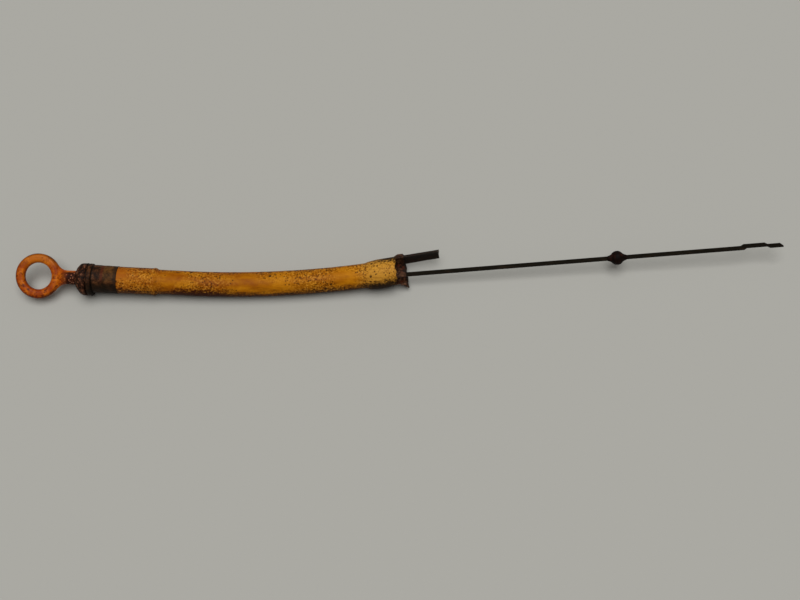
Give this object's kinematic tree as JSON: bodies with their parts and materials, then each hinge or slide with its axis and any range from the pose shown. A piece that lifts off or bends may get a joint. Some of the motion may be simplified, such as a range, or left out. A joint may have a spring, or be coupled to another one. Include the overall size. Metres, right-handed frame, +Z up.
{
  "type": "oil dipstick",
  "caption": "Engine oil dipstick with a finger ring, seated in its gently bent plastic guide tube, whose bell-shaped lower socket is broken.",
  "frame": {"origin": "middle of the part's footprint, on the surface it lies on", "axes": "+X along the part from the finger ring to the blade's tip, +Z up from the surface it lies on, +Y to the inside of the tube's bend"},
  "size_m": [0.5742, 0.064, 0.0246],
  "materials": {
    "handle": "satin",
    "stopper": "matte",
    "blade": "satin",
    "bead": "satin",
    "collar": "matte",
    "guide_tube": "satin"
  },
  "bodies": {
    "guide": {"guide_tube": "guide_tube", "collar": "collar"},
    "dipstick": {"handle": "handle", "stopper": "stopper", "blade": "blade", "bead": "bead"}
  },
  "joints": [
    {"name": "dipstick_pull", "type": "slide", "parent": "guide", "child": "dipstick", "axis": [-0.9995, 0, 0.0327], "range_m": [0, 0.04]}
  ]
}
